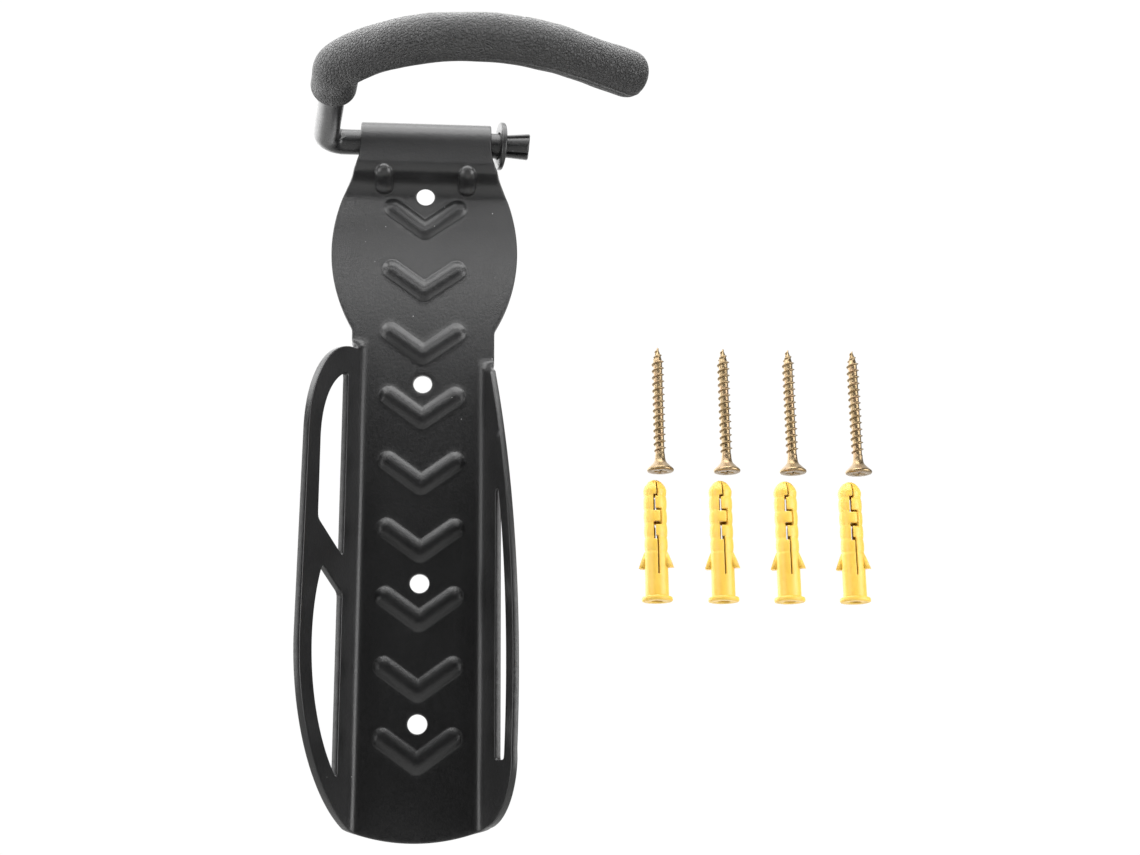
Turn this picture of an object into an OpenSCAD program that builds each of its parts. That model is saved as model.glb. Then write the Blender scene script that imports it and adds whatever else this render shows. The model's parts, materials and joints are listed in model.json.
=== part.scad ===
// Wall rack that hangs a bicycle by its front wheel.
// One pressed steel sheet makes the wall plate, its two side wings and the rolled hinge barrel.
// A padded hook swings in the barrel, and a loose washer and a staked rod end keep it there.
// Z is up, the wall is the plane y = 0 and the rack stands out from it towards -y.

/* [Sheet] */
// Thickness of the steel sheet
sheet_t = 2.5; // [2:0.1:3]
// Inner radius of the bends between the plate and its wings
bend_r = 4; // [3:0.5:5]
// Half width of the flat strip between the wings
flat_hw = 20.6; // [18:0.1:22]
// Angle that the wings turn forward from the plate
wing_angle = 68; // [55:1:80]

/* [Plate outline] */
// Radius of the round lower edge, measured on the unbent sheet
base_r = 69.5; // [65:0.5:75]
// Half width of the waist above the wings
waist_hw = 27.7; // [25:0.1:29]
// Height where the left wing starts, above the lower edge
left_wing_top = 187; // [180:1:190]
// Height where the right wing starts
right_wing_top = 179; // [170:1:182]
// Half width of the head of the plate
head_hw = 36.7; // [34:0.1:40]
// Height of the widest place of the head
head_h = 227; // [222:1:230]
// Radius of the sides of the head
head_side_r = 65; // [55:1:80]

/* [Neck and barrel] */
// Height where the sheet leaves the wall and leans forward
neck_h = 246.5; // [245:0.5:249]
// Angle that the neck leans forward
neck_angle = 75; // [65:1:80]
// Inner radius of the neck's soft lower bend
neck_low_r = 9; // [6:0.5:10]
// Inner radius of the neck's upper bend
neck_high_r = 2.5; // [2:0.5:4]
// Forward lean of the face between the upper bend and the barrel
face_lean = 12; // [0:1:20]
// Height of the barrel axis above the lower edge
barrel_h = 270; // [269:0.1:273]
// Bore of the rolled barrel
barrel_bore = 11; // [10.6:0.1:12]
// Length of the barrel
barrel_len = 51.4; // [46:0.2:54]

/* [Ribs and holes] */
// Distance from one tyre rib to the next
rib_pitch = 26; // [24:0.5:28]
// Height of the lowest rib, at the inner corner of its V
rib_h = 32; // [30:0.5:36]
// Number of V ribs
rib_count = 9; // [3:1:9]
// Width of a rib
rib_w = 7.4; // [5:0.2:8]
// Height of a rib above the plate
rib_rise = 1.5; // [1:0.1:2.5]
// Slope of each arm of the V
rib_slope = 36; // [30:1:45]
// Diameter of the screw holes
hole_d = 7.2; // [6:0.1:8]
// Height of a hole above the inner corner of its rib
hole_rise = 10.3; // [9.5:0.1:11]

/* [Wing windows] */
// Width of the rim that runs round the left wing
left_rim = 10; // [8:0.5:12]
// Width of the rim that runs round the right wing
right_rim = 6.5; // [5.5:0.5:8]
// Width left standing beside the bend
root_rim = 9.5; // [8:0.5:11]
// Slope of the brace across the left wing
brace_slope = 26; // [20:1:30]

/* [Hook] */
// Diameter of the steel rod
rod_d = 10; // [9:0.1:10.4]
// Radius of the rod's axis in the bend beside the barrel
elbow_r = 7; // [6.5:0.5:9]
// Angle that the arm leans from square to the barrel
arm_lean = 7.3; // [5:0.1:9]
// Radius of the rod's axis in the long curve of the hook
crook_r = 61.3; // [58:0.1:64]
// Radius of the rod's axis where the arm runs into the long curve
shoulder_r = 16; // [14:0.5:20]
// Slope of the straight tip
tip_slope = 31; // [25:1:36]
// Length of the straight tip of the sleeve, up to its round end
tip_len = 26; // [20:0.5:30]
// Outer diameter of the sleeve
sleeve_d = 16.8; // [15:0.1:18]

/* [Washer and staked end] */
// Diameter of the washer
washer_d = 19; // [17:0.5:21]
// Thickness of the washer
washer_t = 2; // [1.5:0.1:2.5]
// Lean of the washer on the rod
washer_lean = 5; // [0:1:6]
// Distance from the middle of the plate to the washer
washer_x = 29.6; // [29.4:0.1:30]
// Length of the rod past the middle of the plate
rod_end_x = 41; // [38:0.5:43]

/* [Loose fixings] */
// Length of a screw
screw_len = 50; // [40:1:60]
// Diameter of a screw over its thread
screw_d = 5; // [4:0.1:6]
// Diameter of a screw head
screw_head_d = 10.4; // [9:0.1:12]
// Length of a wall plug
plug_len = 47; // [40:1:50]
// Diameter of a wall plug
plug_d = 9; // [8:0.1:10]
// Diameter of the collar of a wall plug
plug_collar_d = 11.6; // [10:0.1:13]
// Distance of the first screw from the middle of the plate
screw_x = 91.5; // [85:0.5:110]
// Distance from one screw to the next
screw_pitch = 25.9; // [20:0.1:30]
// Distance of the first wall plug from the middle of the plate
plug_x = 89.1; // [85:0.1:110]
// Distance from one wall plug to the next
plug_pitch = 25.3; // [20:0.1:30]

/* [Hidden] */
$fn = 96;
clear = 0.05;
over = 1;
// Stretches that meet end to end run lap_len into each other and differ by lap in size.
lap = 0.02;
lap_len = 0.3;

// The origin lies on the back of the plate, midway up the flat pad above the fifth rib.
origin_h = rib_h + 4 * rib_pitch + hole_rise;

// Sheet derived from the driving sizes
bend_out_r = bend_r + sheet_t;
wing_len = 45;
head_side_x = head_side_r - head_hw;
barrel_out_r = barrel_bore / 2 + sheet_t;
barrel_y = -max(barrel_out_r, washer_d / 2) - 0.1;
neck_low_out_r = neck_low_r + sheet_t;
neck_high_out_r = neck_high_r + sheet_t;
// Lengths of the neck's slanted run and of the face below the barrel, from where they must end
neck_end_y = barrel_out_r * cos(face_lean) - barrel_y - sheet_t
    - neck_low_r * (1 - cos(neck_angle)) - neck_high_out_r * (cos(face_lean) - cos(neck_angle));
neck_end_h = barrel_h - barrel_out_r * sin(face_lean) - neck_h
    - neck_low_r * sin(neck_angle) - neck_high_out_r * (sin(neck_angle) - sin(face_lean));
neck_slant = (neck_end_y * cos(face_lean) - neck_end_h * sin(face_lean))
    / sin(neck_angle - face_lean);
face_run = (neck_end_h * sin(neck_angle) - neck_end_y * cos(neck_angle))
    / sin(neck_angle - face_lean);
hole_ribs = [0, 2, 5, 8];

// Wing outlines, measured along the wing from the end of its bend
base_c = [-flat_hw - (bend_r + sheet_t / 2) * wing_angle * PI / 180, base_r];
left_edge = base_c[0] + base_r;
left_tip_c = [-2, 142];
left_tip_r = 43;
right_edge_r = 320;
right_edge_c = [25.2 - right_edge_r, 62];
right_foot_c = [-1, 30];
right_foot_r = 25;
left_brace_low = 84;
left_brace_high = 97.5;
right_slot_h = [28.5, 128.5];

// Hook axis in the plane of the hook; the barrel axis is the x axis and -y points off the wall
crook_c = [17.6, -25.7];
arm_off = 53.9;
arm_side = [cos(180 + arm_lean), sin(180 + arm_lean)];
arm_dir = [sin(arm_lean), -cos(arm_lean)];
shoulder_run = sqrt(pow(crook_r - shoulder_r, 2) - pow(arm_off - shoulder_r, 2));
shoulder_turn = atan2(shoulder_run, arm_off - shoulder_r);
shoulder_c = crook_c + (arm_off - shoulder_r) * arm_side + shoulder_run * arm_dir;
elbow_x = crook_c[0]
    + (arm_off - elbow_r + (crook_c[1] + elbow_r) * arm_side[1]) / arm_side[0];
elbow_c = [elbow_x, -elbow_r];
elbow_run = (elbow_c - crook_c) * arm_dir;
crook_start = 180 + arm_lean + shoulder_turn;
crook_end = 270 + tip_slope;
tip_start = crook_c + crook_r * [cos(crook_end), sin(crook_end)];
sleeve_run = 13.3;

fixing_y = -6;
screw_head_h = 137.5;
plug_collar_h = 87.3;

// A flat shape drawn in x and z, given a thickness that starts at y = back and grows forward
module upright(back, thick) {
    translate([0, back, 0]) rotate([90, 0, 0]) linear_extrude(thick) children();
}

// Moves what is drawn above the lower edge so that the origin is at the middle pad
module on_wall() {
    translate([0, 0, -origin_h]) children();
}

// Part of a ring, drawn flat round the origin from one angle to another
module ring_sector(r_in, r_out, a0, a1) {
    reach = 2 * r_out;
    intersection() {
        difference() {
            circle(r_out);
            circle(r_in);
        }
        polygon([
            [0, 0],
            reach * [cos(a0), sin(a0)],
            reach * [cos((a0 + a1) / 2), sin((a0 + a1) / 2)],
            reach * [cos(a1), sin(a1)],
        ]);
    }
}

// Outline of a V rib, wide and with round ends
module rib_outline(width) {
    arm = 12.7 / cos(rib_slope);
    corner = -4;
    translate([0, corner]) {
        circle(d = width);
        for (side = [0, 1]) mirror([side, 0]) rotate(rib_slope) {
            translate([0, -width / 2]) square([arm, width]);
            translate([arm, 0]) circle(d = width);
        }
    }
}

// Flat middle of the plate, up to the neck
module plate_outline() {
    intersection() {
        union() {
            intersection() {
                translate([-head_side_x, head_h]) circle(head_side_r);
                translate([head_side_x, head_h]) circle(head_side_r);
                translate([-50, left_wing_top])
                    square([100, neck_h + lap_len - left_wing_top]);
            }
            translate([-waist_hw, left_wing_top]) square([2 * waist_hw, 10]);
            translate([0, right_wing_top]) square([waist_hw, 10]);
            translate([-flat_hw - lap_len, 0])
                square([2 * (flat_hw + lap_len), left_wing_top + over]);
        }
        base_outline();
    }
}

// Everything above the round lower edge
module base_outline() {
    translate([0, base_r]) circle(base_r);
    translate([-50, base_r]) square([100, 200]);
}

// Outline of the left wing without its windows
module left_wing_outline() {
    intersection() {
        translate(base_c) circle(base_r);
        translate([-lap_len, 0]) square([wing_len, base_r]);
    }
    polygon([
        [-lap_len, base_r - over], [left_edge - lap, base_r - over],
        [left_tip_c[0] + left_tip_r - lap, left_tip_c[1] + over],
        [-lap_len, left_tip_c[1] + over],
    ]);
    intersection() {
        translate(left_tip_c) circle(left_tip_r);
        translate([-lap_len, left_tip_c[1]]) square([wing_len, left_tip_r]);
    }
}

// Upper and lower windows of the left wing, with the sloping brace between them
module left_windows() {
    intersection() {
        union() {
            translate(left_tip_c) circle(left_tip_r - left_rim);
            square([left_tip_c[0] + left_tip_r - left_rim, left_tip_c[1]]);
        }
        translate([0, left_brace_high]) rotate(brace_slope) square(200);
        translate([root_rim, 0]) square(200);
    }
    intersection() {
        translate(base_c) circle(base_r - left_rim);
        translate([root_rim, 0]) square(200);
        translate([0, left_brace_low]) rotate(brace_slope) translate([-100, -200]) square(200);
    }
}

// Outline of the right wing, which tapers to nothing at its top
module right_wing_outline() {
    intersection() {
        translate(right_edge_c) circle(right_edge_r, $fn = 360);
        translate([-lap_len, right_foot_c[1]])
            square([wing_len, right_wing_top - right_foot_c[1]]);
    }
    intersection() {
        translate(right_foot_c) circle(right_foot_r);
        translate([-lap_len, 0]) square([wing_len, right_foot_c[1] + over]);
    }
}

// The one long slot of the right wing
module right_slot() {
    intersection() {
        translate(right_edge_c) circle(right_edge_r - right_rim, $fn = 360);
        translate([root_rim, right_slot_h[0]])
            square([wing_len, right_slot_h[1] - right_slot_h[0]]);
    }
}

// One wing with its bend, on the +x side; its outline is drawn as children
module wing(top) {
    intersection() {
        translate([flat_hw, -bend_out_r, 0]) linear_extrude(top)
            ring_sector(bend_r - lap, bend_out_r - lap, 90 - wing_angle, 90);
        upright(20, 40) base_outline();
    }
    translate([flat_hw, -bend_out_r, 0]) rotate([0, 0, -wing_angle])
        upright(bend_out_r, sheet_t) children();
}

// Side view of the neck and the barrel, drawn with y to the right and z up
module neck_profile() {
    lower_c = [-sheet_t - neck_low_r, neck_h];
    barrel_c = [barrel_y, barrel_h];
    in_by = neck_high_out_r - barrel_out_r;
    upper_c = barrel_c + [
        in_by * cos(face_lean) + face_run * sin(face_lean),
        in_by * sin(face_lean) - face_run * cos(face_lean),
    ];
    translate(lower_c) ring_sector(neck_low_r - lap, neck_low_out_r - lap, 0, neck_angle);
    translate(lower_c) rotate(neck_angle) translate([neck_low_r, -lap_len])
        square([sheet_t, neck_slant + 2 * lap_len]);
    translate(upper_c) ring_sector(
        neck_high_r - lap, neck_high_out_r - lap, 180 + face_lean, 180 + neck_angle);
    translate(upper_c) rotate(face_lean) translate([-neck_high_out_r, -lap_len])
        square([sheet_t, face_run + lap_len + 0.5]);
}

// Rolled barrel, open at the seam where the sheet's edge comes round behind
module barrel_profile() {
    seam = 1;
    translate([barrel_y, barrel_h]) difference() {
        circle(barrel_out_r - lap);
        circle(barrel_bore / 2);
        rotate(262) translate([0, -seam / 2]) square([barrel_out_r + over, seam]);
    }
}

// Front view that trims the neck between the head and the barrel
module neck_outline() {
    barrel_hw = barrel_len / 2;
    head_end = sqrt(pow(head_side_r, 2) - pow(neck_h - head_h, 2)) - head_side_x;
    shape = [
        [head_end - 0.2, neck_h - over], [32, neck_h + 4.5], [30, neck_h + 8.3],
        [27.6, neck_h + 12], [26.1, neck_h + 15.5], [barrel_hw, neck_h + 19.5],
        [barrel_hw, barrel_h + 20],
    ];
    polygon(concat(
        [for (p = shape) p],
        [for (i = [len(shape) - 1 : -1 : 0]) [-shape[i][0], shape[i][1]]]
    ));
}

// Two oval pressed ribs that stiffen the lower bend of the neck
module neck_ribs() {
    rib_x = 16.4;
    rib_width = 7;
    rib_len = 14;
    web = [
        [-2.3, neck_h + 3.9], [-3.6, neck_h + 3.4], [-14, neck_h + 10.5],
        [-13.8, neck_h + 12.1], [-8.8, neck_h + 10], [-4.9, neck_h + 7.9],
    ];
    for (x = [-rib_x, rib_x]) intersection() {
        translate([x - rib_width / 2, 0, 0]) rotate([90, 0, 90])
            linear_extrude(rib_width) polygon(web);
        translate([x, -8.9, neck_h + 7]) rotate([-33, 0, 0]) linear_extrude(20, center = true) {
            square([rib_width + over, rib_len - rib_width], center = true);
            for (end = [-1, 1]) translate([0, end * (rib_len - rib_width) / 2])
                circle(d = rib_width - 0.1);
        }
    }
}

// The whole pressed sheet
module wall_plate() {
    color([0.07, 0.07, 0.075]) on_wall() difference() {
        union() {
            upright(0, sheet_t) plate_outline();
            mirror([1, 0, 0]) wing(left_wing_top) difference() {
                left_wing_outline();
                left_windows();
            }
            wing(right_wing_top) difference() {
                right_wing_outline();
                right_slot();
            }
            intersection() {
                rotate([90, 0, 90]) translate([0, 0, -40]) linear_extrude(80) neck_profile();
                upright(5, 40) neck_outline();
            }
            translate([-barrel_len / 2, 0, 0]) rotate([90, 0, 90])
                linear_extrude(barrel_len) barrel_profile();
            for (i = [0 : rib_count - 1])
                translate([0, 0, rib_h + i * rib_pitch])
                    upright(-sheet_t + clear, rib_rise + clear) rib_outline(rib_w);
            neck_ribs();
        }
        for (i = [0 : rib_count - 1])
            translate([0, 0, rib_h + i * rib_pitch])
                upright(over, rib_rise - 0.2 + over) rib_outline(rib_w - 2);
        for (i = hole_ribs)
            translate([0, over, rib_h + i * rib_pitch + hole_rise])
                rotate([90, 0, 0]) cylinder(h = 10, d = hole_d);
    }
}

// A stretch of round bar along x
module bar(r, length) {
    rotate([0, 90, 0]) cylinder(h = length, r = r);
}

// A stretch of round bar bent in the hook's plane, from angle a0 to angle a1 round a centre
module bent_bar(r, centre, radius, a0, a1) {
    translate(centre) rotate(a0)
        rotate_extrude(angle = a1 - a0) translate([radius, 0]) circle(r);
}

// A stretch of round bar along the arm, between two runs measured from the crook's centre
module arm_bar(r, run0, run1) {
    translate(crook_c + arm_off * arm_side + run0 * arm_dir)
        rotate(arm_lean - 90) bar(r, run1 - run0);
}

// The shoulder and the long curve of the hook
module crook_bar(r) {
    lap_turn = 0.4;
    bent_bar(r + lap, shoulder_c, shoulder_r, 180 + arm_lean, crook_start);
    bent_bar(r, crook_c, crook_r, crook_start - lap_turn, crook_end + lap_turn);
}

// Puts what is drawn round the barrel axis in its place on the plate
module on_barrel() {
    on_wall() translate([0, barrel_y, barrel_h]) children();
}

// The bent rod, with its pinched ear and its staked end
module hook_rod() {
    r = rod_d / 2;
    groove_len = rod_end_x - washer_x - 2.6;
    color([0.08, 0.08, 0.085]) on_barrel() {
        difference() {
            translate([elbow_x - lap_len, 0, 0]) bar(r, rod_end_x - elbow_x + lap_len);
            for (a = [45 : 90 : 315])
                rotate([a, 0, 0]) translate([rod_end_x - groove_len, r - 1.1, -0.9])
                    cube([groove_len + over, 2, 1.8]);
        }
        bent_bar(r + lap, elbow_c, elbow_r, 90, 180 + arm_lean);
        arm_bar(r, elbow_run - lap_len, shoulder_run + lap_len);
        crook_bar(r);
        translate(tip_start) rotate(tip_slope) bar(r + lap, tip_len - 2);
        rod_ear();
    }
}

// Small pinched fin on the front of the rod that keeps it from sliding through the barrel
module rod_ear() {
    ear_x = -34.4;
    ear_len = 4.6;
    ear_w = 5;
    rotate([25, 0, 0]) translate([0, 0, -ear_w / 2]) linear_extrude(ear_w)
        polygon([
            [ear_x, -rod_d / 2 + 1.5], [ear_x, -rod_d / 2 - 1.6],
            [ear_x + ear_len, -rod_d / 2 + 0.4], [ear_x + ear_len, -rod_d / 2 + 1.5],
        ]);
}

// Foam sleeve from the arm to the closed round tip
module hook_sleeve() {
    r = sleeve_d / 2;
    bore_r = rod_d / 2 + clear + lap;
    color([0.15, 0.15, 0.15]) on_barrel() difference() {
        union() {
            arm_bar(r, sleeve_run, shoulder_run + lap_len);
            crook_bar(r);
            translate(tip_start) rotate(tip_slope) rotate([0, 90, 0]) rotate_extrude() {
                square([r + lap, tip_len]);
                translate([0, tip_len]) intersection() {
                    circle(r + lap);
                    square(r + over);
                }
            }
        }
        arm_bar(bore_r, sleeve_run - over, shoulder_run + lap_len);
        crook_bar(bore_r);
        translate(tip_start) rotate(tip_slope) bar(bore_r + lap, tip_len - 2 + clear);
    }
}

// Loose washer between the barrel and the staked end of the rod
module washer() {
    color([0.08, 0.08, 0.085]) on_barrel()
        translate([washer_x, 0, 0]) rotate([0, 90 - washer_lean, 0])
            translate([0, 0, -washer_t / 2]) difference() {
                cylinder(h = washer_t, d = washer_d);
                translate([0, 0, -over]) cylinder(h = washer_t + 2 * over, d = rod_d + 0.9);
            }
}

// Countersunk screw, head down and tip up
module screw() {
    head_cone = (screw_head_d - screw_d + 1) / 2 + 1;
    rim = 0.6;
    tip = 5;
    difference() {
        union() {
            cylinder(h = rim, d = screw_head_d);
            rotate_extrude() polygon([
                [0, rim], [screw_head_d / 2, rim], [screw_d / 2 - 0.5, rim + head_cone],
                [screw_d / 2 - 0.5, screw_len - tip], [0.4, screw_len], [0, screw_len],
            ]);
            for (z = [rim + head_cone + 4 : 2.8 : screw_len - tip - 1])
                translate([0, 0, z]) rotate_extrude() polygon([
                    [0, 0], [screw_d / 2 - 0.6, 0], [screw_d / 2, 0.6],
                    [screw_d / 2 - 0.6, 1.2], [0, 1.2],
                ]);
        }
        for (a = [0, 90]) rotate(a) translate([-2.6, -0.45, -over]) cube([5.2, 0.9, 3.2]);
    }
}

// Wall plug, collar down and split tip up
module wall_plug() {
    collar_t = 1.8;
    bore_d = 4.2;
    rib_step = 5.4;
    fin_h = 14;
    difference() {
        union() {
            cylinder(h = collar_t, d = plug_collar_d);
            cylinder(h = plug_len - plug_d / 2, d = plug_d - 0.8);
            translate([0, 0, plug_len - plug_d / 2]) sphere(d = plug_d - 0.8);
            for (i = [0 : 3])
                translate([0, 0, plug_len - 21 + i * rib_step - 1])
                    cylinder(h = rib_step - 1.2, d1 = plug_d, d2 = plug_d - 0.8);
            for (side = [-1, 1]) translate([0, 0, fin_h]) rotate([90, 0, 0])
                translate([0, 0, -0.8]) linear_extrude(1.6) polygon([
                    [side * 3, 0], [side * 6.6, 0], [side * 6.6, 1.2], [side * 3.6, 7],
                    [side * 3, 7],
                ]);
        }
        translate([0, 0, -over]) cylinder(h = plug_len - 6, d = bore_d);
        translate([-plug_d, -0.5, plug_len - 26]) cube([2 * plug_d, 1, 30]);
    }
}

// Screws and wall plugs lie loose beside the plate, against the wall
module screw_place(i) {
    color([0.72, 0.55, 0.25]) on_wall()
        translate([screw_x + (i - 1) * screw_pitch, fixing_y, screw_head_h]) screw();
}

module plug_place(i) {
    color([0.99, 0.8, 0.29]) on_wall()
        translate([plug_x + (i - 1) * plug_pitch, fixing_y, plug_collar_h]) wall_plug();
}

module screw_1() { screw_place(1); }
module screw_2() { screw_place(2); }
module screw_3() { screw_place(3); }
module screw_4() { screw_place(4); }
module wall_plug_1() { plug_place(1); }
module wall_plug_2() { plug_place(2); }
module wall_plug_3() { plug_place(3); }
module wall_plug_4() { plug_place(4); }

wall_plate();
hook_rod();
hook_sleeve();
washer();
screw_1();
screw_2();
screw_3();
screw_4();
wall_plug_1();
wall_plug_2();
wall_plug_3();
wall_plug_4();
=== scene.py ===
"""Looks of the bicycle wall rack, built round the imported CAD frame.

Lengths inside the shape functions are millimetres; z is measured up from the plate's lower
edge until `world()` puts points into the row frame in metres.
"""
import json
import math

import bpy
import numpy as np
from mathutils import Matrix, Vector
from mathutils.geometry import delaunay_2d_cdt

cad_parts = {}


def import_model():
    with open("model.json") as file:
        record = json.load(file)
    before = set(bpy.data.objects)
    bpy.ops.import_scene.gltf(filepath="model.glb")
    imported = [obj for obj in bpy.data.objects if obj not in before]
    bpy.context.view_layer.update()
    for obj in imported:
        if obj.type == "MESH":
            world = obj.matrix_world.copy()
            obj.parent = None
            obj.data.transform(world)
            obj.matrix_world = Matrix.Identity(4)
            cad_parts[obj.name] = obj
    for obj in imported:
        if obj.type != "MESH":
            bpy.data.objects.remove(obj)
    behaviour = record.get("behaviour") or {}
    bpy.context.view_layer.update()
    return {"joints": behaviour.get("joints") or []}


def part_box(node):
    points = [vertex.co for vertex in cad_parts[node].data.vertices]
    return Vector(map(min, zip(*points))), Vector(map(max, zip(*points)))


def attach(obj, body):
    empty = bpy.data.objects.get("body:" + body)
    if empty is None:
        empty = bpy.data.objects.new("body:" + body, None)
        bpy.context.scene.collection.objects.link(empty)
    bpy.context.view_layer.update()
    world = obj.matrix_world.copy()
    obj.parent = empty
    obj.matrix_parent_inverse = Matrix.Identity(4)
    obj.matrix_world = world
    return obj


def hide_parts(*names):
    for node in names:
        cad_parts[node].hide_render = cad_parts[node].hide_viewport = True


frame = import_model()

MM = 0.001

# ---------------------------------------------------------------- frame anchors
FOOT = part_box("wall_plate")[0].z
HINGE = next(j for j in frame["joints"] if j["name"] == "hook_hinge")["pos_m"]
BARREL_Y = HINGE[1] / MM
BARREL_H = (HINGE[2] - FOOT) / MM

# ---------------------------------------------------------------- sheet sizes, as in the CAD
T = 2.5
FLAT_HW = 20.6
BEND_R = 4.0
BEND_OUT = BEND_R + T
BEND_MID = BEND_R + T / 2
WING_ANGLE = math.radians(68)
WING_U = FLAT_HW + BEND_MID * WING_ANGLE
BASE_R = 69.5
WAIST_HW = 27.7
HEAD_H, HEAD_R, HEAD_HW = 227.0, 65.0, 36.7
NECK_H = 246.5
NECK_ANGLE = math.radians(75)
LOW_R, HIGH_R = 9.0, 2.5
LEAN = math.radians(12)
EASE, EASE_BELOW, EASE_ABOVE = 0.5, 9.0, 9.0
BORE_R = 5.5
BARREL_OUT = BORE_R + T
BARREL_MID = BORE_R + T / 2
BARREL_HW = 25.7
ROLL = math.radians(303)
RIB_PITCH, RIB_H, RIB_COUNT = 26.0, 32.0, 9
RIB_HW = 3.8
RIB_INNER = 3.95
RIB_SLOPE = math.radians(36)
RIB_RISE = 1.5
HOLE_R, HOLE_RISE = 3.6, 10.3
HOLE_RIBS = (0, 2, 5, 8)
EDGE = 0.55


def neck_runs():
    """Lengths of the neck's slanted run and of the face below the barrel."""
    f = (BARREL_OUT * math.cos(LEAN) - BARREL_Y - T - LOW_R * (1 - math.cos(NECK_ANGLE))
         - (HIGH_R + T) * (math.cos(LEAN) - math.cos(NECK_ANGLE)))
    z = (BARREL_H - BARREL_OUT * math.sin(LEAN) - NECK_H - LOW_R * math.sin(NECK_ANGLE)
         - (HIGH_R + T) * (math.sin(NECK_ANGLE) - math.sin(LEAN)))
    a = np.array([[math.sin(NECK_ANGLE), math.sin(LEAN)], [math.cos(NECK_ANGLE), math.cos(LEAN)]])
    return np.linalg.solve(a, [f, z])


NECK_SLANT, FACE_RUN = neck_runs()


def world(points):
    """Millimetres above the lower edge to metres in the row frame."""
    p = np.asarray(points, float) * MM
    p[:, 2] += FOOT
    return p


def step(x, a, b):
    """0 below a, 1 above b, smooth between."""
    t = np.clip((x - a) / (b - a), 0, 1)
    return t * t * (3 - 2 * t)


# ---------------------------------------------------------------- folding the flat sheet
def ease_in(s):
    """Forward lean of the sheet just below and above the neck line, where the bend begins."""
    t = np.clip(1 + s / EASE_BELOW, 0, 1)
    q = np.clip(s / EASE_ABOVE, 0, 1)
    fade = 2 * q ** 3 - 3 * q ** 2 + 1 + 2 * EASE_ABOVE / EASE_BELOW * (q ** 3 - 2 * q ** 2 + q)
    return EASE * np.where(s > 0, fade, t * t)


def neck_path(v, w):
    """y and z of the sheet above the neck line: v along the sheet, w up from its back face."""
    s = v - NECK_H
    ease = ease_in(s)
    # lower bend leans forward round a centre in front of the sheet
    l1 = (LOW_R + T / 2) * NECK_ANGLE
    cy, cz = -T - LOW_R, NECK_H
    a = np.clip(s / (LOW_R + T / 2), 0, NECK_ANGLE)
    r = LOW_R + T - w
    run = np.clip(s - l1, 0, NECK_SLANT)
    y = cy + r * np.cos(a) - run * math.sin(NECK_ANGLE)
    z = cz + r * np.sin(a) + run * math.cos(NECK_ANGLE)
    # upper bend turns back up round a centre behind the sheet
    s2 = s - l1 - NECK_SLANT
    turn = NECK_ANGLE - LEAN
    sin_a, cos_a = math.sin(NECK_ANGLE), math.cos(NECK_ANGLE)
    c2y = cy + (LOW_R + T + HIGH_R) * cos_a - NECK_SLANT * sin_a
    c2z = cz + (LOW_R + T + HIGH_R) * sin_a + NECK_SLANT * cos_a
    a2 = np.clip(s2 / (HIGH_R + T / 2), 0, turn)
    r2 = HIGH_R + w
    on = s2 > 0
    s3 = s2 - (HIGH_R + T / 2) * turn
    up = np.clip(s3, 0, FACE_RUN)
    y = np.where(on, c2y - r2 * np.cos(NECK_ANGLE - a2) - up * math.sin(LEAN), y)
    z = np.where(on, c2z - r2 * np.sin(NECK_ANGLE - a2) + up * math.cos(LEAN), z)
    # round the barrel
    s4 = s3 - FACE_RUN
    a4 = np.clip(s4 / BARREL_MID, 0, 6) - LEAN
    r4 = BORE_R + w
    on = s4 > 0
    y = np.where(on, BARREL_Y - r4 * np.cos(a4), y)
    z = np.where(on, BARREL_H + r4 * np.sin(a4), z)
    return y - ease, z


ROLL_START = (NECK_H + (LOW_R + T / 2) * NECK_ANGLE + NECK_SLANT
              + (HIGH_R + T / 2) * (NECK_ANGLE - LEAN) + FACE_RUN)
SHEET_TOP = ROLL_START + BARREL_MID * (ROLL + LEAN)


def fold(u, v, w):
    """A point of the flat sheet (u across, v up, w from its back) to x, y, z on the rack."""
    side = np.sign(u)
    s = np.abs(u) - FLAT_HW
    bend_top = np.where(u > 0, 1 - step(v, 175.2, 182.5), 1 - step(v, 184.2, 190.0))
    turn = WING_ANGLE * bend_top
    a = np.clip(s / BEND_MID, 0, turn)
    rest = np.clip(s - BEND_MID * turn, 0, None)
    r = BEND_OUT - w
    wing = s > 0
    x = np.where(wing, side * (FLAT_HW + r * np.sin(a) + rest * np.cos(a)), u)
    y0 = np.where(wing, -BEND_OUT + r * np.cos(a) - rest * np.sin(a), -w)
    y1, z1 = neck_path(v, w)
    neck = v > NECK_H
    return np.stack([x, np.where(neck, y1, y0 - ease_in(v - NECK_H)), np.where(neck, z1, v)], 1)


# ---------------------------------------------------------------- pressed ribs
def segment_distance(u, v, a, b):
    ax, ay = a
    bx, by = b
    dx, dy = bx - ax, by - ay
    t = np.clip(((u - ax) * dx + (v - ay) * dy) / (dx * dx + dy * dy), 0, 1)
    return np.hypot(u - ax - t * dx, v - ay - t * dy)


def rib_lines():
    arm = 12.7
    for i in range(RIB_COUNT):
        low = RIB_H + i * RIB_PITCH - RIB_INNER
        top = low + arm * math.tan(RIB_SLOPE)
        yield [(-arm, top), (0.0, low), (arm, top)]


def dome(d, half_width, rise, soft):
    """Height of a pressed rib whose section is part of a circle, with a soft foot."""
    r = (half_width ** 2 + rise ** 2) / (2 * rise)
    g = np.sqrt(np.clip(r * r - np.minimum(d, r) ** 2, 0, None)) - (r - rise)
    g = np.where(d > r, -(d - half_width), g)
    return 0.5 * (g + np.sqrt(g * g + soft * soft)) * step(-d, -half_width - 1.3, -half_width)


NECK_RIB_X = 16.4
NECK_RIB_V = (254.8, 262.4)


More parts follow.
